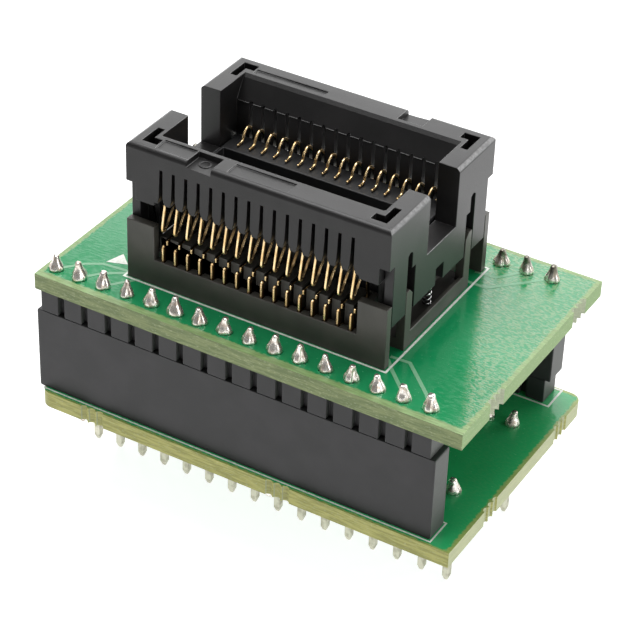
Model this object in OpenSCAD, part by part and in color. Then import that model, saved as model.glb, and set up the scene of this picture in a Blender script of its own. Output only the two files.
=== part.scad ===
// Plug-in adapter with an open-top test socket for a small outline chip.
// A lower board with plug pins carries two header strips, one female and one male.
// The upper board plugs onto them and carries a socket with a sprung push-down cover.
// Millimetres, +Z up, +X along the pin rows, the viewer's side is -Y.
// The origin is the middle of the plug pins, at their tips.

/* [Boards] */
// Thickness of both boards
board_thick = 1.6; // [1.2:0.1:2]
// Length of the upper board
board_length = 43.2; // [41:0.1:48]
// Depth of the upper board beyond that of the lower one
depth_more = 0.45; // [0.2:0.05:2]
// Length of the lower board
lower_length = 42.8; // [41:0.1:48]
// Depth of the lower board, from which the header rows take their places
lower_depth = 26.46; // [26:0.02:28]
// Corner radius of the lower board
lower_corner = 1.2; // [0.4:0.1:1.4]

/* [Header strips] */
// Height of the male insulator strips
strip_height = 2.54; // [2.2:0.02:2.8]
// Height of the female strips
female_height = 8.5; // [8.2:0.1:9.5]
// Depth of every strip along Y
strip_width = 2.5; // [2.2:0.1:2.6]
// Side of the square header pins
pin_width = 0.64; // [0.5:0.02:0.66]

/* [Plug pins] */
// Distance between the two rows of plug pins
plug_space = 11.43; // [10.16:0.01:15.24]
// Free length of the plug pins below their strips
plug_length = 6; // [4:0.5:8]

/* [Socket] */
// Half the length of the socket, from which the number of contacts follows
half_x = 13.14; // [12:0.01:15]
// Way the cover can be pressed down
cover_travel = 2.15; // [1.6:0.05:2.2]
// Thickness of the contact sheet
contact_thick = 0.24; // [0.18:0.01:0.26]
// Wire diameter of the cover springs
spring_wire = 0.14; // [0.1:0.01:0.18]

/* [Hidden] */

// Header pins at their standard pitch, and the clearances between pins and board edges.
pin_count = 16;
pin_pitch = 2.54;
pins_half = (pin_count - 1)/2*pin_pitch;
lower_left = 1.05;
lower_front = 1.95;
lower_rear = 1.65;
upper_left = 1.2;
upper_front = 1.7;
row_space = lower_depth - lower_front - lower_rear;
board_depth = lower_depth + depth_more;
slack = 0.02;
cut_over = 1;

// Heights from the tips of the plug pins upward.
z_strip = plug_length;
z_low_under = z_strip + strip_height;
z_low_top = z_low_under + board_thick;
z_up_under = z_low_top + strip_height + female_height;
z_up_top = z_up_under + board_thick;

// Header strips, their pins and leaf contacts.
female_length = 2*pins_half + pin_pitch + 0.3;
male_length = 2*pins_half + pin_pitch - 0.5;
block_width = 1.84;
core_width = 1.3;
female_foot = 1.3;
mate_length = female_height - female_foot - 1.2;
cavity_x = 0.9;
cavity_y = 1.5;
leaf_thick = 0.2;
leaf_gap = 0.03;
leaf_short = 0.6;
leaf_floor = 0.3;
tail_x = 0.5;
tail_y = 0.3;
pin_hole = pin_width + 0.3;
tip_taper = 0.5;
tip_width = 0.5*pin_width;

// Solder cones at the pins, and smaller ones at the socket's contact tails.
cone_foot = 0.85;
cone_tip = 0.3;
cone_high = 1.75;
dot_foot = 0.5;
dot_tip = 0.2;
dot_high = 0.9;

// Break-off marks along the board edges, shallower on the lower board.
bite_r = 0.42;
bite_step = 0.86;
bite_out = 0.14;
upper_bites_right = [-6.85, 9.16];
lower_bites_right = [-5.56, 8.35];
lower_bites_front = [-14.22, 5.61];

// Socket, counted from its middle and from the top of the upper board.
socket_y = 0.47;
row_gap = 2.13;
half_y = row_space/2 - row_gap;
end_wall = 2.09;
block_gap = 0.78;
block_over = 0.745;
window_x = half_x - end_wall;
block_x = window_x - block_gap;
lead_pitch = 1.27;
lead_count = floor(2*(block_x - block_over)/lead_pitch + slack) + 1;
leads_half = (lead_count - 1)/2*lead_pitch;

// Socket base: outer walls, comb for the contacts, latch posts.
wall_thick = 0.8;
wall_low = 2.65;
wall_high = 6.1;
wall_in = half_y - wall_thick;
floor_z = 1.55;
floor_x = window_x - 0.05;
ledge_z = 1.1;
ledge_thick = 0.4;
fin_back = 1.1;
fin_deep = 2.85;
fin_drop = 1.5;
fin_y = half_y - fin_back;
fin_in = fin_y - fin_deep;
fin_z = wall_high - fin_drop;
slot_x = 0.4;
slot_out = half_y - 0.2;
leg_slot_in = wall_in - 0.05;
arm_slot_in = fin_in + 0.25;
arm_slot_z = floor_z + 0.05;
post_out = half_y - 3.35;
post_in = post_out - 1.1;
post_head = post_out - 0.6;
post_thick = 0.84;
post_x = half_x - post_thick;
post_z = wall_high - 0.05;
post_slope = 0.55;
barb_reach = 0.5;
barb_side = 0.1;
barb_high = 0.65;

// Chip seat between the contact rows, with a well for the chip's body.
seat_gap = 0.1;
seat_rise = 2.2;
seat_x = window_x - 0.15;
seat_y = fin_in - seat_gap;
seat_z = wall_high + seat_rise;
well_end = 0.3;
well_wall = 2.8;
well_deep = 5.1;
well_x = seat_x - well_end;
well_y = seat_y - well_wall;
well_z = seat_z - well_deep;

// Cover at rest, pushed up by its springs. Its rails slope down inside to a comb over the contacts.
stop_gap = 0.05;
cover_rise = 5.6;
cover_low = wall_high + cover_travel + stop_gap;
cover_top = cover_low + cover_rise;
tooth_low = cover_low + 0.35;
lip_low = cover_low + 1.7;
end_low = floor_z + cover_travel + 0.15;
edge_cut = 0.3;
rail_deep = 2.85;
rail_slope = 2.1;
rail_in = half_y - rail_deep;
comb_thick = 1.55;
comb_in = seat_y + seat_gap;
comb_out = comb_in + comb_thick;
comb_low = cover_low - 0.5;
comb_top = cover_top - rail_slope;
comb_x = half_x - 0.99;
end_y = wall_in - 0.08;
end_back = 1.22;
end_in = end_y - end_back;
end_strip = half_x - 0.89;
notch_y = 2.6;
notch_z = cover_low - 0.25;
slit_x = 0.32;
slit_wide = 0.72;
slit_roof = 1.75;
slit_top = cover_top - slit_roof;
slit_low = comb_top + 0.15;
slit_bend = comb_in + 0.85;
funnel_deep = 1.7;
funnel_in = half_y - funnel_deep;
funnel_top = lip_low - 0.1;

// Latch slots, corner slots and rail recesses of the cover.
latch_gap = 0.07;
latch_out = post_out + latch_gap;
latch_in = post_in - 0.25;
latch_neck = post_head - 0.1;
latch_mid = notch_z + 0.15;
latch_high = notch_z + 1.9;
latch_round = 0.25;
latch_ledge = end_low + 0.75;
barb_z = latch_ledge + 0.1;
corner_deep = 3.2;
corner_out_x = half_x - 1.04;
corner_mid_x = half_x - 1.74;
corner_in_x = half_x - 2.59;
corner_out_y = half_y - 1;
corner_mid_y = half_y - 1.9;
corner_in_y = half_y - 3.5;
recess_low = 4.45;
recess_high = 6.95;
recess_in = half_y - 2.1;
recess_deep = 0.6;
panel_deep = 0.15;
panel_left = 1.3 - recess_low;
panel_right = 2.8;
panel_rear_right = -3;
panel_front_out = half_y - 0.6;
panel_front_in = half_y - 2.13;
panel_rear_out = half_y - 1.47;
panel_rear_in = half_y - 2.2;

// Cover springs in their pockets at both ends.
spring_x = half_x - end_wall/2;
pocket_r = 0.26*end_wall;
spring_r = pocket_r - spring_wire/2 - 0.14;
pocket_z = notch_z - 0.85;
pocket_slot = 0.68;
pocket_slot_z = notch_z - 2.5;
spring_turns = 13;

// Contact outlines: distance in from the socket's outer face, height above the base's wall top.
leg_tail_out = 0.35;
leg_tail_in = 0.65;
leg_tail_mid = (leg_tail_out + leg_tail_in)/2;
leg_out = 0.24;
leg_in = 0.62;
leg_foot = 0.4;
leg_top = -1.84;
leg_round = 0.16;
nose_out = 0.94;
nose_in = 1.75;
nose_low = -2.15;
bar_step = 2.55;
bar_in = 3.55;
bar_top = -1.7;
bar_seat = -2.5;
bar_low = arm_slot_z + 0.1;
neck_top = bar_low + 0.6;
arm_half = 0.14;
arm_path = [
  [0.85, 2.95],
  [0.22, -0.02],
  [0.35, -0.3],
  [0.8, -0.32],
  [1.62, 0.88],
  [3.85, 3.15],
  [4.35, 3.52],
  [4.7, 3.43],
  [5.13, 3.05],
  [5.25, 2.65],
  [5.45, 2.43],
  [6.2, 2.4]
];
stem_half = 0.2;
stem_path = [
  [3.2, -1.8],
  [3.25, -0.6],
  [3.15, 0.7],
  [2.8, 1.95]
];
knuckle_r = 0.4;

// Smooth curve through the points of a path, with one point more in each gap.
function path_point(path, i) = path[min(max(i, 0), len(path) - 1)];
function four_points(path, k) = [for (i = [k - 1 : k + 2]) path_point(path, i)];
function curve_point(p, t) =
  p[1]
  + t*(p[2] - p[0])/2
  + t*t*(2*p[0] - 5*p[1] + 4*p[2] - p[3])/2
  + t*t*t*(3*p[1] - p[0] - 3*p[2] + p[3])/2;
function curve(path) = [
  for (i = [0 : 2*len(path) - 2]) curve_point(four_points(path, floor(i/2)), i/2 - floor(i/2))
];

// Outline of a strip of even width along a path.
function along(path, i) = path_point(path, i + 1) - path_point(path, i - 1);
function across(v) = [-v[1], v[0]]/norm(v);
function strip(path, half) = concat(
  [for (i = [0 : len(path) - 1]) path[i] + half*across(along(path, i))],
  [for (i = [len(path) - 1 : -1 : 0]) path[i] - half*across(along(path, i))]
);

function in_row(p) = [half_y - p[0], wall_high + p[1]];
function row_curve(path) = curve([for (p = path) in_row(p)]);

module along_pins() {
  for (i = [0 : pin_count - 1]) {
    translate([i*pin_pitch - pins_half, 0, 0]) children();
  }
}

module along_leads() {
  for (i = [0 : lead_count - 1]) {
    translate([i*lead_pitch - leads_half, 0, 0]) children();
  }
}

module in_socket() {
  translate([0, socket_y, z_up_top]) children();
}

module both_sides() {
  children();
  mirror([0, 1, 0]) children();
}

module both_ends() {
  children();
  mirror([1, 0, 0]) children();
}

module profile_yz(width) {
  rotate([90, 0, 90]) linear_extrude(height = width, center = true) children();
}

module block(low, high) {
  translate(low) cube(high - low);
}

module plate(low, high) {
  translate(low) square(high - low);
}

// Square pin from z0 to z1 with a tapered tip at its lower end.
module square_pin(z0, z1) {
  translate([0, 0, z0 + tip_taper])
    linear_extrude(height = z1 - z0 - tip_taper) square(pin_width, center = true);
  translate([0, 0, z0 + tip_taper])
    mirror([0, 0, 1])
      linear_extrude(height = tip_taper, scale = tip_width/pin_width) square(pin_width, center = true);
}

module hole_rows(space, side) {
  for (s = [-1, 1]) {
    translate([0, s*space/2]) along_pins() square(side, center = true);
  }
}

// Three bites whose centres lie beyond the edge by the given distance.
module bites(out) {
  for (k = [-1 : 1]) {
    translate([k*bite_step, -out]) circle(r = bite_r, $fn = 8);
  }
}

module plain_strip() {
  linear_extrude(height = strip_height)
    difference() {
      square([male_length, strip_width], center = true);
      along_pins() square(pin_width + slack, center = true);
    }
}

// Breakaway strip with a gap between neighbouring pin blocks.
module male_strip() {
  linear_extrude(height = strip_height)
    difference() {
      union() {
        square([2*pins_half, core_width], center = true);
        along_pins() square([block_width, strip_width], center = true);
      }
      along_pins() square(pin_width + slack, center = true);
    }
}

// Female strip with its mouth at the top.
module female_strip() {
  linear_extrude(height = female_foot)
    difference() {
      square([female_length, strip_width], center = true);
      along_pins() square([tail_x + 2*slack, tail_y + 2*slack], center = true);
    }
  translate([0, 0, female_foot])
    linear_extrude(height = female_height - female_foot)
      difference() {
        square([female_length, strip_width], center = true);
        along_pins() square([cavity_x, cavity_y], center = true);
      }
}

// One leaf and tail per pin, seen along X, with the strip's mouth at the top.
module female_contacts() {
  inner = pin_width/2 + leaf_gap;
  outer = inner + leaf_thick;
  low = female_foot + slack;
  high = female_height - leaf_short;
  along_pins()
    profile_yz(tail_x)
      polygon([
        [-tail_y/2, -board_thick],
        [tail_y/2, -board_thick],
        [tail_y/2, low],
        [outer, low],
        [outer, high],
        [inner, high],
        [inner, low + leaf_floor],
        [-tail_y/2, low + leaf_floor]
      ]);
}

// Solder cone over the end of a pin, which stops level with the board.
module solder_cone() {
  cylinder(r1 = cone_foot, r2 = cone_tip, h = cone_high, $fn = 7);
}

// What rounds off a corner of the lower board. The front right corner is left square.
module corner_cut() {
  difference() {
    square(2*lower_corner, center = true);
    translate([lower_corner, lower_corner]) circle(r = lower_corner, $fn = 32);
  }
}

module lower_board() {
  low =[-pins_half - lower_left, -row_space/2 - lower_front];
  high = low + [lower_length, lower_depth];
  color([0.07, 0.45, 0.24])
    translate([0, 0, z_low_under])
      linear_extrude(height = board_thick)
        difference() {
          plate(low, high);
          translate(low) corner_cut();
          translate([low[0], high[1]]) rotate([0, 0, -90]) corner_cut();
          translate(high) rotate([0, 0, 180]) corner_cut();
          hole_rows(row_space, pin_hole);
          hole_rows(plug_space, pin_hole);
          for (y = lower_bites_right) {
            translate([high[0], y]) rotate([0, 0, 90]) bites(bite_out);
          }
          for (x = lower_bites_front) {
            translate([x, low[1]]) bites(bite_out);
          }
        }
}

module plug_strip_front() {
  color([0.16, 0.16, 0.17])
    translate([0, -plug_space/2, z_strip]) plain_strip();
}

module plug_strip_rear() {
  color([0.16, 0.16, 0.17])
    translate([0, plug_space/2, z_strip]) plain_strip();
}

module plug_pins_front() {
  color([0.78, 0.75, 0.66])
    translate([0, -plug_space/2, 0]) along_pins() square_pin(0, z_low_top);
}

module plug_pins_rear() {
  color([0.78, 0.75, 0.66])
    translate([0, plug_space/2, 0]) along_pins() square_pin(0, z_low_top);
}

module plug_solder() {
  color([0.72, 0.70, 0.66])
    for (s = [-1, 1]) {
      translate([0, s*plug_space/2, z_low_top]) along_pins() solder_cone();
    }
}

module lower_female_strip() {
  color([0.2, 0.2, 0.21])
    translate([0, -row_space/2, z_low_top]) female_strip();
}

module lower_female_contacts() {
  color([0.78, 0.75, 0.66])
    translate([0, -row_space/2, z_low_top]) female_contacts();
}

module lower_male_strip() {
  color([0.2, 0.2, 0.21])
    translate([0, row_space/2, z_low_top]) male_strip();
}

module lower_male_pins() {
  tip = z_low_top + strip_height + mate_length;
  color([0.78, 0.75, 0.66])
    translate([0, row_space/2, tip]) mirror([0, 0, 1]) along_pins() square_pin(0, tip - z_low_under);
}

module lower_solder() {
  color([0.72, 0.70, 0.66])
    for (s = [-1, 1]) {
      translate([0, s*row_space/2, z_low_under]) mirror([0, 0, 1]) along_pins() solder_cone();
    }
}

module upper_board() {
  low = [-pins_half - upper_left, -row_space/2 - upper_front];
  high = low + [board_length, board_depth];
  tail_mid = half_y - leg_tail_mid;
  tail_hole = [contact_thick + 0.26, leg_tail_in - leg_tail_out + 0.3];
  color([0.08, 0.5, 0.27])
    translate([0, 0, z_up_under])
      linear_extrude(height = board_thick)
        difference() {
          plate(low, high);
          hole_rows(row_space, pin_hole);
          for (s = [-1, 1]) {
            translate([0, socket_y + s*tail_mid]) along_leads() square(tail_hole, center = true);
          }
          for (y = upper_bites_right) {
            translate([high[0], y]) rotate([0, 0, 90]) bites(0);
          }
        }
}

module upper_male_strip() {
  color([0.2, 0.2, 0.21])
    translate([0, -row_space/2, z_up_under - strip_height]) male_strip();
}

module upper_male_pins() {
  tip = z_up_under - strip_height - mate_length;
  color([0.78, 0.75, 0.66])
    translate([0, -row_space/2, tip]) along_pins() square_pin(0, z_up_top - tip);
}

module upper_female_strip() {
  color([0.2, 0.2, 0.21])
    translate([0, row_space/2, z_up_under]) mirror([0, 0, 1]) female_strip();
}

module upper_female_contacts() {
  color([0.78, 0.75, 0.66])
    translate([0, row_space/2, z_up_under]) mirror([0, 0, 1]) female_contacts();
}

module upper_solder() {
  color([0.72, 0.70, 0.66])
    for (s = [-1, 1]) {
      translate([0, s*row_space/2, z_up_top]) along_pins() solder_cone();
    }
}

// Latch post that guides the cover and stops it at the top of its travel.
module latch_post() {
  translate([post_x + post_thick/2, 0, 0])
    profile_yz(post_thick)
      polygon([
        [post_in, 0],
        [post_out, 0],
        [post_out, post_z],
        [post_head, post_z],
        [post_in, post_z - post_slope]
      ]);
  block(
    [post_x - barb_reach, post_in + 2*barb_side, barb_z],
    [post_x + stop_gap, post_out - barb_side, barb_z + barb_high]
  );
}

module socket_base() {
  lap = 0.1;
  color([0.19, 0.18, 0.19])
    in_socket()
      difference() {
        union() {
          block([-floor_x, -wall_in - lap, 0], [floor_x, wall_in + lap, floor_z]);
          both_ends() block([floor_x - lap, -post_out, 0], [half_x, post_out, ledge_z]);
          both_ends() block([half_x - ledge_thick, -post_out, 0], [half_x, post_out, floor_z]);
          both_sides() block([-half_x, -half_y, 0], [half_x, -wall_in, wall_low]);
          both_sides() both_ends() block([block_x, -half_y, 0], [half_x, -wall_in, wall_high]);
          both_sides() block([-block_x - lap, -fin_y, 0], [block_x + lap, -fin_in, fin_z]);
          both_sides() both_ends() latch_post();
        }
        both_sides()
          along_leads()
            block([-slot_x/2, -slot_out, -cut_over], [slot_x/2, -leg_slot_in, fin_z + cut_over]);
        both_sides()
          along_leads()
            block([-slot_x/2, -fin_y - lap, arm_slot_z], [slot_x/2, -arm_slot_in, fin_z + cut_over]);
      }
}

module chip_seat() {
  color([0.15, 0.15, 0.16])
    in_socket()
      difference() {
        block([-seat_x, -seat_y, floor_z], [seat_x, seat_y, seat_z]);
        block([-well_x, -well_y, well_z], [well_x, well_y, seat_z + cut_over]);
      }
}

// Fixed leg of a contact with its tail through the board, and the bar inward that carries the arm.
module contact_leg() {
  top = wall_high + leg_top;
  profile_yz(contact_thick)
    polygon([
      [half_y - leg_tail_in, -board_thick],
      [half_y - leg_tail_out, -board_thick],
      [half_y - leg_tail_out, leg_foot/2],
      [half_y - leg_out, leg_foot],
      [half_y - leg_out, top - leg_round],
      [half_y - leg_out - leg_round, top],
      [half_y - leg_in, top],
      [half_y - leg_in, neck_top],
      [half_y - nose_in, neck_top],
      [half_y - nose_in, wall_high + nose_low],
      [half_y - nose_out, wall_high + nose_low],
      [half_y - nose_out, wall_high + bar_top],
      [half_y - bar_step, wall_high + bar_top],
      [half_y - bar_step, wall_high + bar_seat],
      [half_y - bar_in, wall_high + bar_seat],
      [half_y - bar_in, bar_low],
      [half_y - leg_in, bar_low],
      [half_y - leg_in, leg_foot],
      [half_y - leg_tail_in, leg_foot/2]
    ]);
}

// Moving arm of a contact on its stem: lever prong outside, bent pressing foot inside.
module contact_arm() {
  profile_yz(contact_thick)
    union() {
      polygon(strip(row_curve(arm_path), arm_half));
      polygon(strip(row_curve(stem_path), stem_half));
      translate(in_row(stem_path[0])) circle(r = knuckle_r, $fn = 16);
    }
}

module contact_legs_front() {
  color([0.78, 0.6, 0.28])
    in_socket() mirror([0, 1, 0]) along_leads() contact_leg();
}

module contact_legs_rear() {
  color([0.78, 0.6, 0.28])
    in_socket() along_leads() contact_leg();
}

module socket_solder() {
  color([0.72, 0.70, 0.66])
    in_socket()
      both_sides()
        along_leads()
          translate([0, half_y - leg_tail_mid, -board_thick - dot_high])
            cylinder(r1 = dot_tip, r2 = dot_foot, h = dot_high, $fn = 6);
}

module contact_arms_front() {
  color([0.83, 0.64, 0.3])
    in_socket() mirror([0, 1, 0]) along_leads() contact_arm();
}

module contact_arms_rear() {
  color([0.83, 0.64, 0.3])
    in_socket() along_leads() contact_arm();
}

// Window for the chip: straight between the combs, then opening along the sloping rails.
module chip_window() {
  high = cover_top + cut_over;
  slope_top = cover_top - edge_cut;
  wide = rail_in + edge_cut;
  profile_yz(2*window_x)
    polygon([
      [-comb_in, 0],
      [comb_in, 0],
      [comb_in, comb_top],
      [rail_in, slope_top],
      [wide, cover_top],
      [wide, high],
      [-wide, high],
      [-wide, cover_top],
      [-rail_in, slope_top],
      [-comb_in, comb_top]
    ]);
}

// Slit for one contact, open below and to both sides. Its roof drops inside to break the comb's edge,
// and its outer mouth is a funnel.
module cover_slit() {
  low = comb_low - cut_over;
  out = half_y + cut_over;
  profile_yz(slit_x)
    polygon([
      [out, low],
      [out, slit_top],
      [slit_bend, slit_top],
      [comb_in, slit_low],
      [comb_in - cut_over, slit_low],
      [comb_in - cut_over, low]
    ]);
  translate([0, (funnel_in + out)/2, 0])
    rotate([90, 0, 0])
      linear_extrude(height = out - funnel_in, center = true)
        polygon([
          [-slit_wide/2, low],
          [slit_wide/2, low],
          [slit_wide/2, tooth_low],
          [0, funnel_top],
          [-slit_wide/2, tooth_low]
        ]);
}

module latch_slot() {
  low = end_low - cut_over;
  translate([half_x, 0, 0])
    profile_yz(2*(post_thick + latch_gap))
      polygon([
        [latch_in, low],
        [latch_out, low],
        [latch_out, latch_high - latch_round],
        [latch_out - latch_round, latch_high],
        [latch_neck + latch_round, latch_high],
        [latch_neck, latch_high - latch_round],
        [latch_neck, latch_mid],
        [latch_in, latch_mid]
      ]);
  block([window_x - cut_over, latch_in, latch_ledge], [post_x, latch_out, latch_mid]);
}

module corner_slot() {
  low = cover_top - corner_deep;
  high = cover_top + cut_over;
  block([corner_in_x, corner_mid_y, low], [corner_out_x, corner_out_y, high]);
  block([corner_mid_x, corner_in_y, low], [corner_out_x, corner_out_y, high]);
}

module rail_recess() {
  high = cover_top + cut_over;
  block([recess_low, recess_in, cover_top - recess_deep], [recess_high, half_y + cut_over, high]);
}

// Shallow panels sunk in the tops of the rails, two in front and one behind.
module rail_panels() {
  low = cover_top - panel_deep;
  high = cover_top + cut_over;
  end = corner_in_x - panel_deep;
  block([-end, -panel_front_out, low], [-recess_high - panel_deep, -panel_front_in, high]);
  block([panel_left, -panel_front_out, low], [panel_right, -panel_front_in, high]);
  block([-end, panel_rear_in, low], [panel_rear_right, panel_rear_out, high]);
}

module cover_body() {
  long = 2*half_x;
  deep = 2*half_y;
  lap = 0.1;
  translate([0, 0, lip_low])
    linear_extrude(height = cover_top - edge_cut - lip_low) square([long, deep], center = true);
  translate([0, 0, cover_top - edge_cut])
    linear_extrude(height = edge_cut, scale = [1 - 2*edge_cut/long, 1 - 2*edge_cut/deep])
      square([long, deep], center = true);
  both_sides() block([-comb_x, rail_in, cover_low], [comb_x, half_y, lip_low + lap]);
  both_sides() block([-window_x - lap, comb_in, comb_low], [window_x + lap, comb_out, lip_low + lap]);
  both_ends() block([window_x, -end_in, end_low], [half_x, end_in, lip_low + lap]);
  both_ends() block([end_strip, -end_y, end_low], [half_x, end_y, lip_low + lap]);
}

module cover() {
  high = cover_top + cut_over;
  out_x = half_x + cut_over;
  color([0.24, 0.23, 0.24])
    in_socket()
      difference() {
        cover_body();
        chip_window();
        block([-out_x, -notch_y, notch_z], [out_x, notch_y, high]);
        both_sides() along_leads() cover_slit();
        both_sides() block([-block_x, comb_out, 0], [block_x, half_y + cut_over, tooth_low]);
        both_sides() both_ends() latch_slot();
        both_sides() both_ends() corner_slot();
        both_ends() translate([spring_x, 0, 0]) cylinder(r = pocket_r, h = pocket_z, $fn = 12);
        both_ends() block([spring_x, -pocket_slot, 0], [out_x, pocket_slot, pocket_slot_z]);
        rail_recess();
        rotate([0, 0, 180]) rail_recess();
        rail_panels();
      }
}

// Coil spring: a square wire section carried round its axis in short straight steps.
module coil() {
  steps = 6*spring_turns;
  half = spring_wire/2;
  low = ledge_z + half;
  rise = pocket_z - ledge_z - spring_wire;
  corners = [[-half, -half], [half, -half], [half, half], [-half, half]];
  points = [
    for (i = [0 : steps])
      for (c = corners)
        [(spring_r + c[0])*cos(60*i), (spring_r + c[0])*sin(60*i), low + rise*i/steps + c[1]]
  ];
  sides = [
    for (i = [0 : steps - 1])
      for (k = [0 : 3])
        [4*i + k, 4*i + (k + 1)%4, 4*i + 4 + (k + 1)%4, 4*i + 4 + k]
  ];
  ends = [[3, 2, 1, 0], [4*steps, 4*steps + 1, 4*steps + 2, 4*steps + 3]];
  polyhedron(points = points, faces = concat(sides, ends), convexity = 12);
}

module spring_left() {
  color([0.75, 0.75, 0.75])
    in_socket() translate([-spring_x, 0, 0]) coil();
}

module spring_right() {
  color([0.75, 0.75, 0.75])
    in_socket() translate([spring_x, 0, 0]) coil();
}

lower_board();
plug_strip_front();
plug_strip_rear();
plug_pins_front();
plug_pins_rear();
plug_solder();
lower_female_strip();
lower_female_contacts();
lower_male_strip();
lower_male_pins();
lower_solder();
upper_board();
upper_male_strip();
upper_male_pins();
upper_female_strip();
upper_female_contacts();
upper_solder();
socket_base();
chip_seat();
contact_legs_front();
contact_legs_rear();
socket_solder();
contact_arms_front();
contact_arms_rear();
cover();
spring_left();
spring_right();
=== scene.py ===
import math

import bmesh
import bpy
import numpy as np
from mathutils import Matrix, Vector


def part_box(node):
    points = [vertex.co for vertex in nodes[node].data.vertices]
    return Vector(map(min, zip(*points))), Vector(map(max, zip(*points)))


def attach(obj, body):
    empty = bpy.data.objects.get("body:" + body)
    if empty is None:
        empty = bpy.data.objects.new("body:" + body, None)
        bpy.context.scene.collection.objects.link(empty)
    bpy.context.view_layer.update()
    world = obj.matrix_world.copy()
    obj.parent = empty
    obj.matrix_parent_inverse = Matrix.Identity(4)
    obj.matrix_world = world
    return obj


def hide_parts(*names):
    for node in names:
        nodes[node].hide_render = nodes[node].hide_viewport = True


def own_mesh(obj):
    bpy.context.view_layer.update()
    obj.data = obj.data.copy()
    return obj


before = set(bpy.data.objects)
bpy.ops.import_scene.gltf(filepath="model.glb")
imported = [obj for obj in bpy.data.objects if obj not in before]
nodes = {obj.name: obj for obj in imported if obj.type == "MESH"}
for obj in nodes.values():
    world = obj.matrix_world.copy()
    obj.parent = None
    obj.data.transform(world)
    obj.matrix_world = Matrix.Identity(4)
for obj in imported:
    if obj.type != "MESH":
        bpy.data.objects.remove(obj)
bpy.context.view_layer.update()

# Lower board: glass-fibre laminate 1.6 mm thick under a glossy green mask. It is routed with
# round corners and snapped out of its panel, which leaves rough break-off marks on two edges.
# White print frames the two headers.
MM = 0.001


class Value:
    """One shader socket in a sum. Each operator adds the Math node that works it out."""

    def __init__(self, finish, socket):
        self.finish = finish
        self.socket = socket

    def math(self, operation, *terms):
        """One Math node on one or two values or numbers."""
        return self.finish.node("ShaderNodeMath", {"operation": operation}, dict(enumerate(terms)))

    def __add__(self, other):
        return self.math("ADD", self, other)

    def __radd__(self, other):
        return self.math("ADD", other, self)

    def __sub__(self, other):
        return self.math("SUBTRACT", self, other)

    def __rsub__(self, other):
        return self.math("SUBTRACT", other, self)

    def __mul__(self, other):
        return self.math("MULTIPLY", self, other)

    def __rmul__(self, other):
        return self.math("MULTIPLY", other, self)

    def __abs__(self):
        return self.math("ABSOLUTE", self)

    def wave(self, pitch):
        """Sine of the value with that pitch, from -1 to 1."""
        return self.math("SINE", self * (2 * math.pi / pitch))

    def least(self, other):
        """The smaller of the value and another."""
        return self.math("MINIMUM", self, other)


class Finish:
    """A material built node by node. x, y and z are the place on the piece in millimetres."""

    def __init__(self, name, fixed):
        self.material = bpy.data.materials.new(name)
        self.material.use_nodes = True
        self.tree = self.material.node_tree
        self.shader = self.tree.nodes["Principled BSDF"]
        for socket, value in fixed.items():
            self.shader.inputs[socket].default_value = value
        spot = self.node("ShaderNodeTexCoord", {}, {}, "Object")
        self.spot = self.node("ShaderNodeVectorMath", {"operation": "SCALE"}, {0: spot, "Scale": 1 / MM})
        self.x = self.node("ShaderNodeSeparateXYZ", {}, {0: self.spot}, "X")
        self.y = self.node("ShaderNodeSeparateXYZ", {}, {0: self.spot}, "Y")
        self.z = self.node("ShaderNodeSeparateXYZ", {}, {0: self.spot}, "Z")

    def node(self, kind, settings, sockets, out=0):
        """Adds a node: its settings are set first, then its sockets get values or links."""
        made = self.tree.nodes.new(kind)
        for key, value in settings.items():
            setattr(made, key, value)
        for key, value in sockets.items():
            self.feed(made.inputs[key], value)
        return Value(self, made.outputs[out])

    def feed(self, socket, value):
        """Links a Value to a socket, or sets the socket to a plain number or colour."""
        if isinstance(value, Value):
            self.tree.links.new(value.socket, socket)
        else:
            socket.default_value = value

    def set(self, socket, value):
        """Feeds one of the shader's own sockets."""
        self.feed(self.shader.inputs[socket], value)

    def facing(self, axis):
        """How squarely the surface faces along one axis of the piece, from 0 to 1."""
        normal = self.node("ShaderNodeTexCoord", {}, {}, "Normal")
        return abs(self.node("ShaderNodeSeparateXYZ", {}, {0: normal}, axis))

    def step(self, value, low, high):
        """Smooth step from 0 at low to 1 at high."""
        smooth = {"interpolation_type": "SMOOTHSTEP"}
        return self.node("ShaderNodeMapRange", smooth, {0: value, 1: low, 2: high})

    def noise(self, scale, detail=2.0, stretch=(1, 1, 1)):
        """Cloudy noise, with that many blots per millimetre along each stretched axis."""
        spot = self.node("ShaderNodeVectorMath", {"operation": "MULTIPLY"}, {0: self.spot, 1: stretch})
        return self.node("ShaderNodeTexNoise", {}, {"Vector": spot, "Scale": scale, "Detail": detail})

    def mix(self, share, first, second):
        """Colour between first and second by share. The node's colour sockets are 6, 7 and output 2."""
        return self.node("ShaderNodeMix", {"data_type": "RGBA"}, {0: share, 6: first, 7: second}, 2)

    def bump(self, height, strength, depth_mm):
        """Relief of that depth by height, which is from 0 to 1."""
        relief = {"Height": height, "Strength": strength, "Distance": depth_mm * MM}
        self.set("Normal", self.node("ShaderNodeBump", {}, relief))


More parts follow.
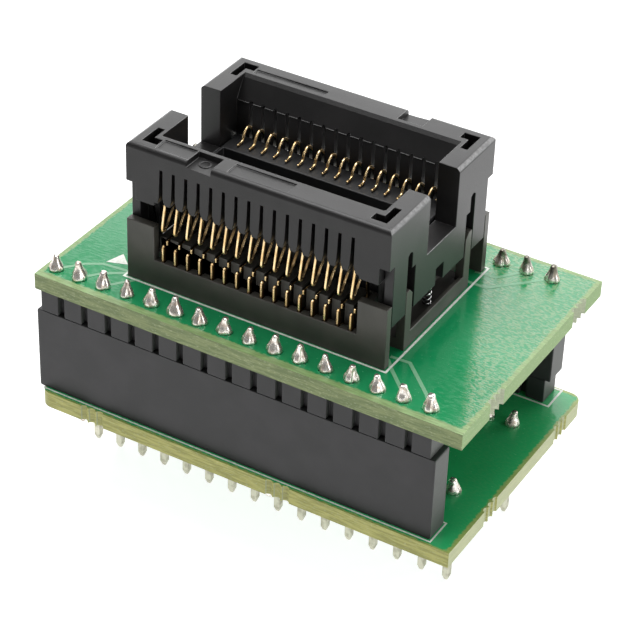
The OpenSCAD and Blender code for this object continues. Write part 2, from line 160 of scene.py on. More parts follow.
def board_finish(
    name, node, mask, mask_pale, laminate, laminate_dark, end_cut, rim_colour, rim_width, front, bareness_and_painted_light
):
    """Mask on the flat faces, uncovered laminate on the cut edges, and a pale rim where the mask stops
    short.

    The rim is where the least distance to the four edges, roughened by noise, is under rim_width.
    Along the front edge it is narrower by front, or wider if front is negative.
    Edges that face along X are sawn across the glass and have the paler colour end_cut, and glass
    torn at the break-off marks and corners is whitish. At the right, beyond a ragged line that slants
    back to the left, the weave in the mask is painted paler: the weave is real, and the paler colour is
    painted sheen where the board catches the light from behind. The last argument says how strong the
    torn glass and the painted sheen are.
    """
    painted_weave_sheen_colour = (0.50, 0.50, 0.30, 1)
    fibre_colour = (0.52, 0.57, 0.36, 1)
    torn_colour = (0.72, 0.74, 0.62, 1)
    sheen_line_slant = 0.42
    sheen_line_from = 17.1
    sheen_line_to = 18.3
    low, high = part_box(node)
    f = Finish(name, {"IOR": 1.75})
    inset = (f.x - low.x / MM).least(high.x / MM - f.x)
    inset = inset.least((f.y - low.y / MM + front).least(high.y / MM - f.y))
    ragged = f.noise(2.2, 3.0)
    flat = f.step(f.facing("Z"), 0.55, 0.85)
    rim = 1 - f.step(inset + 0.5 * ragged, rim_width + 0.1, rim_width + 0.4)
    cloud = f.step(f.noise(0.12, 3.0), 0.35, 0.7)
    dash = f.step(f.noise(1.0, 2.0, (1.5, 4.5, 1.0)), 0.46, 0.62)
    speck = f.step(f.noise(5.0, 2.0), 0.6, 0.72)
    streak = f.noise(1.0, 4.0, (0.5, 0.5, 5.0))
    fibre = f.noise(1.0, 2.0, (3.0, 3.0, 9.0))
    thread = f.step(f.noise(1.0, 2.0, (2.4, 6.0, 1.0)), 0.44, 0.6)
    # Painted sheen: beyond the slanted line the weave is painted paler, where the mask catches the light.
    weave_and_painted_sheen = bareness_and_painted_light * thread * f.step(f.x + sheen_line_slant * f.y + ragged, sheen_line_from, sheen_line_to)
    top = f.mix(0.35 * cloud + 0.1 * dash, mask, mask_pale)
    top = f.mix(0.32 * weave_and_painted_sheen, top, painted_weave_sheen_colour)
    shred = f.step(f.noise(1.0, 3.0, (0.7, 6.0, 1.0)), 0.38, 0.62)
    top = f.mix(rim * (0.75 + 0.15 * shred), top, f.mix(0.6 * shred, rim_colour, laminate_dark))
    side = f.mix(f.step(streak, 0.38, 0.62), laminate, laminate_dark)
    side = f.mix(0.75 * f.step(f.facing("X"), 0.5, 0.9), side, end_cut)
    side = f.mix(0.4 * f.step(fibre, 0.55, 0.75), side, fibre_colour)
    torn = f.step(f.facing("X").least(f.facing("Y")), 0.15, 0.4)
    side = f.mix(bareness_and_painted_light * torn * (0.3 + 0.4 * fibre), side, torn_colour)
    f.set("Base Color", f.mix(flat, side, top))
    f.set("Roughness", 0.62 + flat * (0.3 * rim - 0.5 + 0.12 * dash + 0.05 * speck))
    f.bump(flat * (0.22 * dash + 0.6 * weave_and_painted_sheen + 0.1 * speck) + (1 - flat) * streak, 0.5, 0.02)
    return f.material


def dress(node, material):
    """Gives a CAD node its material."""
    nodes[node].data.materials.clear()
    nodes[node].data.materials.append(material)


def carried(path, across, upward, profile, closed):
    """Surface of a profile carried along a path.

    Point (i, j) is path point i plus profile point j, taken along the path's across and upward
    directions. Open ends are closed with the profile itself.
    """
    count, sides = len(path), profile.shape[-2]
    spots = path[:, None, :] + profile[..., :1] * across[:, None, :] + profile[..., 1:] * upward[:, None, :]
    stretches = count if closed else count - 1
    i, j = np.meshgrid(np.arange(stretches), np.arange(sides), indexing="ij")
    near = i * sides
    far = (i + 1) % count * sides
    k = (j + 1) % sides
    faces = np.stack([near + j, near + k, far + k, far + j], -1).reshape(-1, 4).tolist()
    if not closed:
        faces.append(np.arange(sides)[::-1].tolist())
        faces.append((np.arange(sides) + (count - 1) * sides).tolist())
    return spots.reshape(-1, 3), faces


def upright(count):
    """The upward direction of a level path with that many points."""
    return np.tile([0.0, 0.0, 1.0], (count, 1))


def joined(shapes):
    """Several (points, faces) shapes as one: each shape's faces count on from the points before it."""
    starts = np.cumsum([0] + [len(points) for points, faces in shapes])
    joined_faces = [
        [k + start for k in face] for start, (points, faces) in zip(starts, shapes) for face in faces
    ]
    return np.concatenate([points for points, faces in shapes]), joined_faces


def place(name, mesh, material, body, replaced):
    """Puts a mesh into the scene as a piece that rides on a body and may replace CAD nodes."""
    mesh.materials.append(material)
    made = bpy.data.objects.new(name, mesh)
    bpy.context.scene.collection.objects.link(made)
    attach(made, body)
    if replaced:
        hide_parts(*replaced)
    return made


def piece(name, shape, material, body, replaced=(), smooth=True):
    """A new piece from a (points, faces) shape in millimetres."""
    points, faces = shape
    mesh = bpy.data.meshes.new(name)
    mesh.from_pydata((points * MM).tolist(), [], faces)
    mesh.validate()
    mesh.polygons.foreach_set("use_smooth", np.full(len(mesh.polygons), smooth))
    return place(name, mesh, material, body, replaced)


def line_on_board(corners, width, low, thick, closed=False):
    """Flat line on a board: a thin rectangle carried along straight stretches, mitred at the corners.

    At each corner the across direction is the mean of the neighbours' normals, lengthened by the
    inverse cosine of half the turn.
    """
    path = np.array([(x, y, low) for x, y in corners], float)
    ahead = np.roll(path, -1, 0) - path
    if not closed:
        ahead[-1] = ahead[-2]
    ahead /= np.linalg.norm(ahead, axis=1)[:, None]
    behind = np.roll(ahead, 1, 0)
    if not closed:
        behind[0] = ahead[0]
    normal = np.stack([-ahead[:, 1], ahead[:, 0], 0 * ahead[:, 0]], 1)
    before = np.stack([-behind[:, 1], behind[:, 0], 0 * behind[:, 0]], 1)
    middle = normal + before
    middle /= (middle * normal).sum(1)[:, None]
    half = width / 2
    profile = np.array([(-half, 0), (half, 0), (half, thick), (-half, thick)])
    return carried(path, -middle, upright(len(path)), profile, closed=closed)


ink_thick = 0.02


def printed_frame(left, right, front, rear, width, low):
    """Rectangle of printed line on a board: a closed line round its four corners."""
    corners = [(left, front), (right, front), (right, rear), (left, rear)]
    return line_on_board(corners, width, low, ink_thick, closed=True)


lower_low, lower_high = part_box("lower_board")
lower_top = lower_high.z / MM
# The lower board's mask colours are painted lighter than the upper board's, as painted light that makes up
# for the shade between the two boards.
dress("lower_board", board_finish(
    "lower_mask", "lower_board",
    mask=(0.025, 0.40, 0.13, 1), mask_pale=(0.05, 0.46, 0.18, 1),
    laminate=(0.43, 0.42, 0.105, 1), laminate_dark=(0.27, 0.27, 0.05, 1), end_cut=(0.37, 0.41, 0.25, 1),
    rim_colour=(0.42, 0.44, 0.09, 1), rim_width=0.35, front=0.12, bareness_and_painted_light=0.1,
))

ink = Finish("white_ink", {"Roughness": 0.55})
thin_ink = ink.step(ink.noise(3.0), 0.4, 0.7)
ink.set("Base Color", ink.mix(thin_ink, (0.85, 0.87, 0.81, 1), (0.68, 0.72, 0.64, 1)))
row = 11.43
frame_left = -19.9
frame_right = 20.62
frame_half = 1.47
frame_rear_half = 1.42
fine_line = 0.15
bold_line = 0.2
header_frames = [
    printed_frame(frame_left, frame_right, -row - frame_half, -row + frame_half, fine_line, lower_top),
    printed_frame(frame_left, frame_right, row - frame_half, row + frame_rear_half, bold_line, lower_top),
]
piece("lower_board_print", joined(header_frames), ink.material, "lower_adapter", smooth=False)

# Plug strips and plug pins: square tin-plated pins pressed through straight black strips,
# soldered from above. They stand below the lower board and carry the whole adapter.


def soften(node, width_mm, segments=2):
    """Rounds the sharp edges of a CAD node, after its loose triangles are joined."""
    weld = nodes[node].modifiers.new("join", "WELD")
    weld.merge_threshold = 1e-6
    bevel = nodes[node].modifiers.new("round", "BEVEL")
    bevel.width = width_mm * MM
    bevel.segments = segments
    bevel.limit_method = "ANGLE"
    bevel.angle_limit = math.radians(40)
    bevel.use_clamp_overlap = True


def moulded(name, colour, pale, grain, rough, sawn=None, wear_and_painted_sheen=None):
    """Moulded plastic with slight clouding and a fine grain in the bump.

    The walls that face along Y are duller than the rest, from the drag of the mould. If asked,
    ends that face along X are paler where they were sawn, and edges that face halfway between
    X and Z, the rounded brows, get a painted highlight in noisy patches.
    """
    f = Finish(name, {"IOR": 1.43, "Coat Roughness": rough})
    cloud = f.step(f.noise(0.35, 3.0), 0.35, 0.7)
    fine = f.noise(grain, 3.0)
    shade = f.mix(cloud, colour, pale)
    rough_here = rough + 0.12 * (fine - 0.5)
    if sawn:
        cut = f.step(f.facing("X"), 0.8, 0.95)
        drag = f.step(f.noise(1.0, 3.0, (1.0, 0.8, 6.0)), 0.3, 0.7)
        shade = f.mix(cut * (0.75 + 0.25 * drag), shade, sawn)
        rough_here = rough_here + 0.1 * cut
    # Painted highlight: brows halfway between X and Z are painted paler, in noisy patches, for the light
    # they catch.
    if wear_and_painted_sheen:
        patchy_sheen = f.step(f.noise(3.0, 3.0), 0.35, 0.7)
        brow = f.step(f.facing("X") * f.facing("Z"), 0.15, 0.45) * (0.5 + 0.35 * patchy_sheen)
        shade = f.mix(brow, shade, wear_and_painted_sheen)
    f.set("Base Color", shade)
    f.set("Roughness", rough_here)
    f.set("Coat Weight", 0.24 * (1 - f.step(f.facing("Y"), 0.5, 0.9)))
    f.bump(fine, 0.35, 0.02)
    return f.material


strip_plastic = moulded(
    "strip_plastic", (0.022, 0.022, 0.023, 1), (0.029, 0.028, 0.030, 1), grain=14.0, rough=0.46,
    sawn=(0.06, 0.065, 0.06, 1),
)
tin = Finish("tin_plate", {"Metallic": 1.0})
# Tarnish in random blots, and painted shade that darkens the faces along X.
tarnish_and_side_shade = 0.6 * tin.step(tin.noise(1.6, 3.0), 0.4, 0.68) + 0.4 * tin.step(tin.facing("X"), 0.6, 0.9)
tin.set("Base Color", tin.mix(tarnish_and_side_shade, (0.66, 0.64, 0.52, 1), (0.32, 0.30, 0.22, 1)))
tin.set("Roughness", 0.30 + 0.14 * tarnish_and_side_shade)
tin.bump(tin.noise(4.8, 2.0), 0.25, 0.02)
plug_strip_edge = 0.12
pin_edge = 0.04
for side in ("front", "rear"):
    dress("plug_strip_" + side, strip_plastic)
    soften("plug_strip_" + side, plug_strip_edge)
    dress("plug_pins_" + side, tin.material)
    soften("plug_pins_" + side, pin_edge, segments=1)

# Lower headers: a female strip along the front and a breakaway male strip along the rear, so
# that the upper board can only be plugged in one way round.
female_edge = 0.14
male_edge = 0.1


def dress_headers(board):
    """Black plastic and tin for both headers of one board, with the moulded and sheared edges rounded."""
    dress(board + "_female_strip", strip_plastic)
    soften(board + "_female_strip", female_edge)
    dress(board + "_female_contacts", tin.material)
    dress(board + "_male_strip", strip_plastic)
    soften(board + "_male_strip", male_edge)
    dress(board + "_male_pins", tin.material)
    soften(board + "_male_pins", pin_edge, segments=1)


dress_headers("lower")

# Solder on the lower board: a bright uneven cone round each pin, drawn up to the pin's tip by
# the iron. Above the board for the plug pins, below it for the two headers.
pins = 16
pin_pitch = 2.54
pin_x = (np.arange(pins) - (pins - 1) / 2) * pin_pitch
plug_row = 5.715
both_rows_x = np.tile(pin_x, 2)
plug_y = np.repeat([-plug_row, plug_row], pins)
row_y = np.repeat([-row, row], pins)
cone_foot = 0.78
cone_high = 1.55


def solder_joints(x, y, base, turn, foot, high, rings, sides, seed):
    """Solder cones as one shape, one closed surface of revolution per pin.

    Up the height the radius follows a soft bell that ends in the pin's small flat tip, raised to
    a power drawn once per cone. Its section goes from round at the foot to the pin's square at
    the tip, as a superellipse of rising power. At the pin's four corners a groove of drawn depth
    runs down, as a Gauss curve of the angle. A low wave round the axis and a slight lean make
    each cone uneven. turn is 1 for cones that stand up and -1 for cones that hang down.
    """
    draw = np.random.default_rng(seed)
    count = len(x)
    t = np.linspace(0, 1, rings)
    bell = np.interp(
        t,
        [0, 0.06, 0.15, 0.3, 0.45, 0.6, 0.75, 0.9, 0.97, 1],
        [0.93, 1, 0.98, 0.87, 0.71, 0.57, 0.46, 0.38, 0.35, 0.3],
    )
    angle = np.linspace(0, 2 * np.pi, sides, endpoint=False)
    power = 2 + 2 * t[:, None] ** 2
    square = (np.abs(np.cos(angle)) ** power + np.abs(np.sin(angle)) ** power) ** (-1 / power)
    corner = np.radians([45, 135, 225, 315])
    apart = (angle[:, None] - corner + np.pi) % (2 * np.pi) - np.pi
    groove = draw.uniform(0.05, 0.36, (count, 1, 1, 4)) * np.exp(-((apart / 0.3) ** 2))
    groove = groove.sum(-1) * np.sin(np.pi * (0.2 + 0.75 * t[:, None]))
    phase = draw.uniform(0, 2 * np.pi, (2, count, 1, 1))
    wave = draw.uniform(0.02, 0.1, (count, 1, 1)) * np.cos(2 * angle + phase[0])
    tall = high * draw.uniform(0.88, 1.08, (count, 1, 1))
    wide = foot * draw.uniform(0.88, 1.05, (count, 1, 1))
    drawn = bell[:, None] ** draw.uniform(0.85, 1.15, (count, 1, 1))
    radius = wide * drawn * square * (1 - groove + wave * (1 - t[:, None]))
    lean = 0.08 * t[:, None] ** 2 * high
    px = x[:, None, None] + radius * np.cos(angle) + lean * np.cos(phase[1])
    py = y[:, None, None] + radius * np.sin(angle) + lean * np.sin(phase[1])
    pz = base + turn * (tall * t[:, None] + 0 * angle)
    points = np.stack([px, py, pz], -1).reshape(-1, 3)
    i, j = np.meshgrid(np.arange(rings - 1), np.arange(sides), indexing="ij")
    k = (j + 1) % sides
    near = i * sides
    far = near + sides
    quads = np.stack([near + j, near + k, far + k, far + j], -1).reshape(-1, 4)
    foot_face = np.arange(sides)[::-1]
    tip_face = np.arange(sides) + (rings - 1) * sides
    if turn < 0:
        quads = quads[:, ::-1]
        foot_face = foot_face[::-1]
        tip_face = tip_face[::-1]
    starts = np.arange(count) * rings * sides
    faces = (quads[None] + starts[:, None, None]).reshape(-1, 4).tolist()
    faces += (foot_face[None] + starts[:, None]).tolist()
    faces += (tip_face[None] + starts[:, None]).tolist()
    return points, faces


# Burnt flux stays dark on the tips of the upper board's rear row, which is behind y = 0.
flux_from = 23.2
flux_to = 24.0
solder = Finish("bright_solder", {"Metallic": 0.86})
grey = solder.step(solder.noise(2.4, 3.0), 0.42, 0.66)
flux = solder.step(solder.z, flux_from, flux_to) * solder.step(solder.y, 0.0, 1.0)
shine = solder.mix(grey, (0.98, 0.93, 0.86, 1), (0.60, 0.50, 0.42, 1))
solder.set("Base Color", solder.mix(0.85 * flux, shine, (0.10, 0.10, 0.07, 1)))
solder.set("Roughness", 0.2 + 0.15 * grey)
solder.bump(solder.noise(3.5, 2.0), 0.4, 0.04)
piece(
    "plug_joints",
    solder_joints(
        both_rows_x, plug_y, lower_top, turn=1, foot=cone_foot, high=cone_high, rings=11, sides=16, seed=11
    ),
    solder.material, "lower_adapter", ("plug_solder",),
)
piece(
    "header_joints_below",
    solder_joints(
        both_rows_x, row_y, lower_low.z / MM, turn=-1,
        foot=cone_foot, high=cone_high, rings=11, sides=16, seed=12,
    ),
    solder.material, "lower_adapter", ("lower_solder",),
)

# Upper board: the same laminate and mask, snapped off its panel at the right. White print frames
# the socket and marks its first contact, and copper tracks show through the mask near the corners.
dress("upper_board", board_finish(
    "upper_mask", "upper_board",
    mask=(0.008, 0.25, 0.085, 1), mask_pale=(0.016, 0.32, 0.12, 1),
    laminate=(0.20, 0.25, 0.085, 1), laminate_dark=(0.11, 0.16, 0.04, 1), end_cut=(0.19, 0.33, 0.11, 1),
    rim_colour=(0.31, 0.42, 0.15, 1), rim_width=0.45, front=-0.3, bareness_and_painted_light=1.0,
))
upper_low, upper_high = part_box("upper_board")
upper_top = upper_high.z / MM
socket_y = 0.47
socket_x_half = 13.14
socket_y_half = 9.3
frame_gap_x = 0.25
frame_gap_y = 0.2
socket_frame = printed_frame(
    -socket_x_half - frame_gap_x, socket_x_half + frame_gap_x,
    socket_y - socket_y_half - frame_gap_y, socket_y + socket_y_half + frame_gap_y,
    bold_line, upper_top,
)
mark_corners = [(-16.0, -8.1), (-14.1, -7.4), (-15.4, -6.2)]
first_mark = (
    np.array([(x, y, level) for level in (upper_top, upper_top + ink_thick) for x, y in mark_corners]),
    [[2, 1, 0], [3, 4, 5], [0, 1, 4, 3], [1, 2, 5, 4], [2, 0, 3, 5]],
)
socket_print = joined([socket_frame, first_mark])
piece("upper_board_print", socket_print, ink.material, "upper_module", smooth=False)

track = Finish("masked_track", {"Roughness": 0.4, "IOR": 1.6})
track.set("Base Color", track.mix(track.noise(0.8), (0.14, 0.38, 0.20, 1), (0.19, 0.42, 0.25, 1)))
track_width = 0.34
track_thick = 0.015
track_routes = [
    [(-19.05, -row), (-17.4, -9.4), (-16.0, -8.5), (-13.0, -8.2)],
    [(-16.51, -row), (-15.1, -9.7), (-13.2, -8.4)],
    [(-13.97, -row), (-12.66, -9.7), (-11.8, -8.6)],
    [(12.6, -7.2), (13.55, -8.3), (15.4, -10.1), (16.51, -row)],
    [(12.6, -6.75), (14.46, -6.67), (17.8, -9.85), (19.05, -row)],
    [(12.6, 7.08), (14.65, 7.06), (18.36, 11.0), (19.05, row)],
    [(12.6, 8.9), (14.6, 9.0), (16.51, row)],
]
tracks = [line_on_board(route, track_width, upper_top, track_thick) for route in track_routes]
piece("upper_board_tracks", joined(tracks), track.material, "upper_module", smooth=False)

# Upper headers: a breakaway male strip under the front edge and a female strip under the rear
# edge, which plug onto the lower headers.
dress_headers("upper")

# Solder on the upper board: two rows of bright cones round the tips of the pins, each one uneven
# in its own way. They hold both upper headers.
upper_cone_high = 1.58
piece(
    "header_joints_above",
    solder_joints(
        both_rows_x, row_y, upper_top, turn=1,
        foot=cone_foot, high=upper_cone_high, rings=16, sides=32, seed=21,
    ),
    solder.material, "upper_module", ("upper_solder",),
)

# Socket base and chip seat: glass-filled plastic mouldings. The base holds the contacts in two
# combs and guides the cover with its four corner posts, and the seat carries the chip's leads.
# The base is the cover's plastic painted lighter and warmer, as painted light bounced up from the board and
# in from the front.
base_plastic_painted_lighter = moulded(
    "base_plastic_painted_lighter", (0.050, 0.048, 0.041, 1), (0.064, 0.061, 0.052, 1), grain=9.0, rough=0.38
)
seat_plastic = moulded(
    "seat_plastic", (0.012, 0.012, 0.013, 1), (0.017, 0.017, 0.018, 1), grain=9.0, rough=0.5
)
moulded_edge = 0.06
seat_edge = 0.12


def rounded(name, node, width_mm, material, body, brow_mm=0.0):
    """A copy of a CAD piece with its triangles joined and its sharp edges rounded.

    An edge is cut back when it turns by more than 52 degrees and is not too short. Each cut takes
    width_mm off both neighbouring faces, in two steps. Before that, the blunt edges of the chamfers
    round the top, which turn by about 45 degrees, are cut back by brow_mm, which makes each chamfer
    a round brow. The shading is smooth across turns of up to 30 degrees, weighted by face area.
    """
    shortest_mm = 0.35
    brow_depth_mm = 0.35
    whole_depth_mm = 99.0
    work = bmesh.new()
    work.from_mesh(nodes[node].data)
    bmesh.ops.remove_doubles(work, verts=work.verts, dist=1e-6)
    bmesh.ops.dissolve_limit(work, angle_limit=math.radians(1), verts=work.verts, edges=work.edges)
    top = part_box(node)[1].z
    brow = (40, 50, brow_depth_mm, brow_mm)
    corner = (52, 180, whole_depth_mm, width_mm)
    for low_turn, high_turn, depth_mm, cut_mm in (brow, corner):
        sharp = [
            edge for edge in work.edges
            if edge.is_manifold and edge.calc_length() > shortest_mm * MM
            and math.radians(low_turn) < edge.calc_face_angle() < math.radians(high_turn)
            and min(end.co.z for end in edge.verts) > top - depth_mm * MM
        ]
        if cut_mm:
            bmesh.ops.bevel(
                work, geom=sharp, offset=cut_mm * MM, segments=2, profile=0.5,
                affect="EDGES", clamp_overlap=False,
            )
    mesh = bpy.data.meshes.new(name)
    work.to_mesh(mesh)
    work.free()
    mesh.polygons.foreach_set("use_smooth", np.full(len(mesh.polygons), True))
    mesh.set_sharp_from_angle(angle=math.radians(30))
    made = place(name, mesh, material, body, (node,))
    even = made.modifiers.new("even", "WEIGHTED_NORMAL")
    even.keep_sharp = True
    even.weight = 100


rounded("base_moulding", "socket_base", moulded_edge, base_plastic_painted_lighter, "upper_module")
rounded("seat_moulding", "chip_seat", seat_edge, seat_plastic, "upper_module")

# Contacts: gold-plated spring strip, stamped. Each has a fixed leg soldered through the board and
# an arm with an outer prong, which the cover spreads, and an S-shaped foot that holds a lead.
leads = 16
lead_pitch = 1.27
lead_x = (np.arange(leads) - (leads - 1) / 2) * lead_pitch


def gilded(name, bareness_and_painted_light):
    """Gold plate with painted shade. The stems inside and the arms' tight bends are painted near black, as
    shade.

    Both are told by the height over the board and by how far out from the socket's middle line they
    are. The second argument says how strongly painted shade darkens the flat faces along the row, and
    the faces beside the middle of each contact, where a sine of the contacts' pitch falls off.
    """
    bright = (0.97, 0.73, 0.40, 1)
    rubbed = (0.88, 0.60, 0.28, 1)
    painted_side_shade = (0.12, 0.06, 0.02, 1)
    painted_shade_black = (0.03, 0.02, 0.012, 1)
    f = Finish(name, {"Metallic": 1.0})
    flat_sides = f.step(f.facing("X"), 0.6, 0.95)
    wear_and_painted_sheen = f.step(f.noise(1.2, 3.0), 0.4, 0.68)
    shade = f.mix(wear_and_painted_sheen, bright, rubbed)
    # Painted shade on the flat faces along the row, and beside the middle of each contact.
    off_middle = 1 - f.step((f.x - lead_pitch / 4).wave(lead_pitch), 0.92, 0.98)
    shade = f.mix(bareness_and_painted_light * (1 - (1 - flat_sides) * (1 - bareness_and_painted_light * off_middle)), shade, painted_side_shade)
    rise = f.z - upper_top
    out = abs(f.y - socket_y)
    # Painted shade: the stems deep inside and the arms' tight bends are painted near black.
    shaded_inside = (1 - f.step(rise, 7.6, 8.2)) * (1 - f.step(out, 7.2, 7.6))
    shaded_bend = f.step(out, 8.0, 8.15) * (1 - f.step(out, 8.6, 8.75))
    shaded_bend = shaded_bend * f.step(rise, 5.3, 5.5) * (1 - f.step(rise, 6.3, 6.6))
    f.set("Base Color", f.mix(0.9 * shaded_inside + 0.8 * shaded_bend, shade, painted_shade_black))
    f.set("Roughness", 0.24 + 0.1 * wear_and_painted_sheen + 0.15 * flat_sides)
    f.bump(f.noise(3.6, 2.0), 0.15, 0.02)
    return f.material


leg_gold = gilded("leg_gold", 0.95)
arm_gold = gilded("gold_plate", 0.15)
leg_edge = 0.04
for side in ("front", "rear"):
    dress("contact_legs_" + side, leg_gold)
    soften("contact_legs_" + side, leg_edge, segments=1)


def bent(points, steps):
    """Smooth path through the points: a Catmull-Rom curve, sampled evenly between each two."""
    p = np.array(points, float)
    p = np.concatenate([[2 * p[0] - p[1]], p, [2 * p[-1] - p[-2]]])
    t = np.linspace(0, 1, steps, endpoint=False)[None, :, None]
    a, b, c, d = (p[k:len(p) - 3 + k, None, :] for k in range(4))
    curve = 0.5 * (2 * b + (c - a) * t + (2 * a - 5 * b + 4 * c - d) * t**2 + (3 * b - a - 3 * c + d) * t**3)
    return np.concatenate([curve.reshape(-1, 2), p[-2:-1]])


def strip_contact(path, widths):
    """Stamped strip: a rectangle with cut corners carried along a path in the plane across the row.

    widths gives the strip's width at each path point, in that plane. Its thickness is along the row.
    """
    half_thick = 0.1
    corner = 0.04
    along = np.gradient(path, axis=0)
    along /= np.linalg.norm(along, axis=1)[:, None]
    spots = np.stack([0 * path[:, 0], path[:, 0], path[:, 1]], 1)
    across = np.tile([1.0, 0.0, 0.0], (len(path), 1))
    upward = np.stack([0 * path[:, 0], -along[:, 1], along[:, 0]], 1)
    half_wide = widths[:, None] / 2
    u = np.array([-1, -0.55, 0.55, 1, 1, 0.55, -0.55, -1]) * half_thick
    v = np.array([-1, -1, -1, -1, 1, 1, 1, 1]) * half_wide
    v = v - np.sign(v) * corner * np.array([1, 0, 0, 1, 1, 0, 0, 1])
    profile = np.stack([np.broadcast_to(u, v.shape), v], -1)
    return carried(spots, across, upward, profile, closed=False)


# The arm runs from the prong's tip down to the tight bend and up the sloping limb to the foot.
# Each pair is how far out from the socket's middle line a point is, and how high over the board.
arm = bent(
    [
        (8.45, 9.05), (8.62, 8.25), (8.82, 7.3), (8.98, 6.5),
        (9.04, 6.1), (8.97, 5.84), (8.74, 5.75), (8.46, 5.85),
        (8.1, 6.35), (7.68, 6.95), (7.1, 7.58), (6.3, 8.4), (5.6, 9.1),
        (5.22, 9.46), (4.92, 9.61), (4.65, 9.55), (4.38, 9.36), (4.17, 9.1), (4.08, 8.8),
        (3.98, 8.62), (3.78, 8.53), (3.45, 8.5), (3.1, 8.52),
    ],
    steps=4,
)
stem = bent(
    [(6.1, 3.92), (6.1, 4.1), (6.1, 4.5), (6.14, 4.8), (6.32, 5.6), (6.45, 6.8), (6.6, 7.95)],
    steps=3,
)
arm_wide = np.interp(np.linspace(0, 1, len(arm)), [0, 0.08, 0.92, 1], [0.14, 0.25, 0.25, 0.18])
stem_wide = np.interp(np.linspace(0, 1, len(stem)), [0, 0.16, 0.33, 0.5, 1], [0.3, 0.78, 0.7, 0.34, 0.28])
one_arm = joined([strip_contact(arm, arm_wide), strip_contact(stem, stem_wide)])


def contact_row(way):
    """One row of arms: the same arm at each lead, turned about the upright axis for the front row."""
    points, faces = one_arm
    feet = np.stack([lead_x, 0 * lead_x + socket_y, 0 * lead_x + upper_top], 1)
    spots = (points * [way, way, 1])[None] + feet[:, None, :]
    starts = np.arange(leads) * len(points)
    return spots.reshape(-1, 3), [[k + start for k in face] for start in starts for face in faces]


piece("contact_springs_front", contact_row(-1), arm_gold, "front_arms", ("contact_arms_front",))
piece("contact_springs_rear", contact_row(1), arm_gold, "rear_arms", ("contact_arms_rear",))
tail_out = 8.8
tail_x = np.tile(lead_x, 2)
tail_y = np.repeat([socket_y - tail_out, socket_y + tail_out], leads)
tail_foot = 0.5
tail_high = 0.9
piece(
    "contact_joints",
    solder_joints(
        tail_x, tail_y, upper_low.z / MM, turn=-1,
        foot=tail_foot, high=tail_high, rings=7, sides=10, seed=31,
    ),
    solder.material, "upper_module", ("socket_solder",),
)

# Cover springs: coils of bright drawn steel wire in pockets at both ends of the cover. They stand
# on the base's end ledges and are squeezed as the cover goes down. The half of each coil that faces
# the chip is painted near black, as painted shade in its pocket.
spring_x = 12.095
wire_r = 0.07
turns = 13
steel = Finish("spring_steel", {"Metallic": 1.0})
outer = steel.step(abs(steel.x), 12.05, 12.3)
drawn = steel.step(steel.noise(2.0, 3.0), 0.4, 0.68)
bright_steel = steel.mix(drawn, (0.95, 0.95, 0.95, 1), (0.8, 0.8, 0.8, 1))
# Painted shade: the inner half of each coil is painted near black.
steel.set("Base Color", steel.mix(outer, (0.03, 0.03, 0.03, 1), bright_steel))
steel.set("Roughness", 0.16 + 0.1 * drawn)


def coil_shape(low, high, middle_x):
    """Spring: a round wire carried along a helix between two corners of a box.

    The helix rises evenly, and more slowly in the first and last turn, where the coils lie closed.
    The CAD coil has six straight steps a turn, so its outer radius is its reach along Y over the
    root of 3.
    """
    coil_r = (high.y - low.y) / math.sqrt(3) / MM - wire_r
    angle = np.linspace(0, 2 * np.pi * turns, turns * 20 + 1)
    rise = np.interp(np.linspace(0, 1, len(angle)), [0, 0.08, 0.92, 1], [0, 0.035, 0.965, 1])
    bottom = low.z / MM + wire_r
    top = high.z / MM - wire_r
    out = np.stack([np.cos(angle), np.sin(angle), 0 * angle], 1)
    axis = np.stack([0 * angle + middle_x, 0 * angle + socket_y, bottom + rise * (top - bottom)], 1)
    around = np.linspace(0, 2 * np.pi, 8, endpoint=False)
    section = wire_r * np.stack([np.cos(around), np.sin(around)], 1)
    return carried(out * coil_r + axis, out, upright(len(angle)), section[::-1], closed=False)


for end, side in ((-1, "left"), (1, "right")):
    node = "spring_" + side
    low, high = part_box(node)
    middle_x = end * spring_x
    shape = coil_shape(low, high, middle_x)
    coil = piece("coil_" + side, shape, steel.material, "upper_module", (node,))
    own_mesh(coil)

# Cover: the sprung frame of black glass-filled plastic. Its slits spread the contacts as it is
# pressed, its ends are notched for tweezers, and its corners are cored out from above. Small ledges
# run along its combs, and a moulded ring stands in its front recess.
# The cover's brow colour is a painted highlight on its rounded top edges.
body_plastic = moulded(
    "socket_plastic", (0.008, 0.0076, 0.0078, 1), (0.013, 0.0122, 0.0125, 1), grain=9.0, rough=0.38,
    wear_and_painted_sheen=(0.27, 0.27, 0.27, 1),
)
cover_brow = 0.16
rounded("cover_moulding", "cover", moulded_edge, body_plastic, "cover_frame", cover_brow)

cover_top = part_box("cover")[1].z / MM
ledge_z = cover_top - 2.1
ledge_out = 5.35
comb_half = 10.9
slit_half = 0.2
slit_sides = np.repeat(lead_x, 2) + np.tile([-slit_half, slit_half], leads)
ledge_ends = np.concatenate([[-comb_half], slit_sides, [comb_half]]).reshape(-1, 2)
ledge_bead = np.array([(0.03, -0.12), (0.03, 0.02), (-0.09, 0.0), (-0.09, -0.05)])
ledges = [
    carried(
        np.array([(x, socket_y + way * ledge_out, ledge_z) for x in ends]),
        np.tile([0.0, 1.0 * way, 0.0], (2, 1)), upright(2), ledge_bead[::way], closed=False,
    )
    for way in (-1, 1) for ends in ledge_ends
]
piece("comb_ledges", joined(ledges), body_plastic, "cover_frame", smooth=False)

ring_middle = np.array([-5.8, -7.52, cover_top - 0.6])
ring_radius = 0.5
ring_turn = np.linspace(0, 2 * np.pi, 32, endpoint=False)
ring_out = np.stack([np.cos(ring_turn), np.sin(ring_turn), 0 * ring_turn], 1)
ring_bead = np.array([(-0.09, 0), (-0.05, 0.07), (0.05, 0.07), (0.09, 0)])
ring_path = ring_middle + ring_radius * ring_out
ring = carried(ring_path, ring_out, upright(len(ring_path)), ring_bead[::-1], closed=True)
piece("mould_ring", ring, body_plastic, "cover_frame")

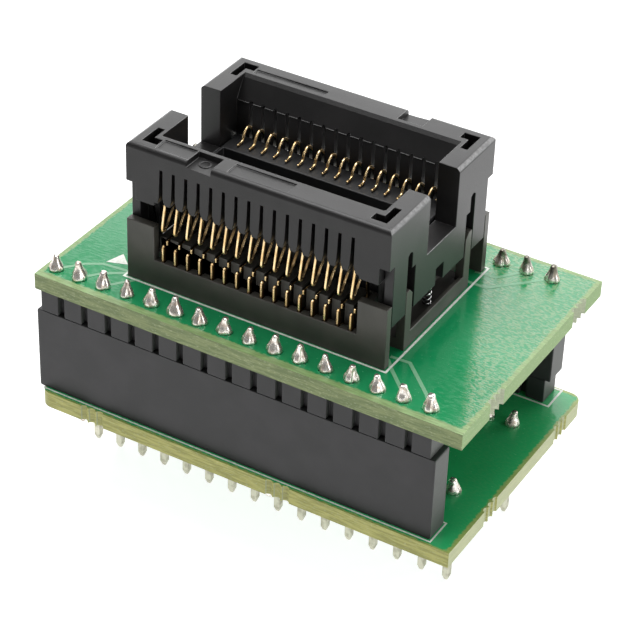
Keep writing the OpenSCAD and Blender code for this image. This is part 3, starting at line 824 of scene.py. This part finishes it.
# Floor, light and camera: a pale floor that glows a little, so that it stays white round the part,
# soft white lamps above, at the front left, at the right and behind, and a camera at the
# photograph's viewing angle.
floor_half = 3.0
floor_corners = floor_half * np.array([(-1, -1, 0), (1, -1, 0), (1, 1, 0), (-1, 1, 0)])
floor_mesh = bpy.data.meshes.new("floor")
floor_mesh.from_pydata(floor_corners.tolist(), [], [(0, 1, 2, 3)])
floor = bpy.data.objects.new("floor", floor_mesh)
bpy.context.scene.collection.objects.link(floor)
pale = Finish("pale_floor", {
    "Base Color": (0.45, 0.45, 0.45, 1), "Roughness": 0.9,
    "Emission Color": (1, 1, 1, 1), "Emission Strength": 0.85,
})
floor_mesh.materials.append(pale.material)

world = bpy.data.worlds.new("studio")
world.use_nodes = True
world.node_tree.nodes["Background"].inputs["Color"].default_value = (1, 1, 1, 1)
world.node_tree.nodes["Background"].inputs["Strength"].default_value = 0.17
bpy.context.scene.world = world


def softbox(name, spot, aim, wide, high, watts):
    """A flat rectangular lamp that faces its aim point. Places and sizes are in metres."""
    lamp = bpy.data.lights.new(name, "AREA")
    lamp.shape = "RECTANGLE"
    lamp.size = wide
    lamp.size_y = high
    lamp.energy = watts
    made = bpy.data.objects.new(name, lamp)
    bpy.context.scene.collection.objects.link(made)
    made.location = spot
    way = np.array(aim) - np.array(spot)
    flat = math.hypot(way[0], way[1])
    made.rotation_euler = (math.atan2(flat, -way[2]), 0, math.atan2(-way[0], way[1]))


softbox("overhead", (-0.1, 0.1, 0.6), aim=(0, 0, 0.02), wide=0.5, high=0.5, watts=4.0)
softbox("glint", (-0.3, -0.5, 0.72), aim=(0, 0, 0.03), wide=0.22, high=0.22, watts=0.6)
softbox("right", (0.9, -0.15, 0.3), aim=(0, 0, 0.03), wide=0.6, high=0.4, watts=2.6)
softbox("backdrop", (0, 1.0, 0.44), aim=(0, 0, 0.44), wide=2.6, high=0.76, watts=16.0)

lens_px = 2348.316
picture_px = 640
sensor = 36.0
view = bpy.data.cameras.new("view")
view.sensor_width = sensor
view.lens = lens_px / picture_px * sensor
view.clip_start = 0.01
camera = bpy.data.objects.new("view", view)
bpy.context.scene.collection.objects.link(camera)
right = np.array([0.859625, 0.509942, 0.031694])
down = np.array([0.314563, -0.479346, -0.819315])
ahead = np.array([-0.402610, 0.714274, -0.572467])
stand = np.array([87.2437, -151.6813, 140.0374]) * MM
turned = np.eye(4)
turned[:3, 0] = right
turned[:3, 1] = -down
turned[:3, 2] = -ahead
turned[:3, 3] = stand
camera.matrix_world = [tuple(line) for line in turned.T]
bpy.context.scene.camera = camera
bpy.context.scene.view_settings.view_transform = "Standard"
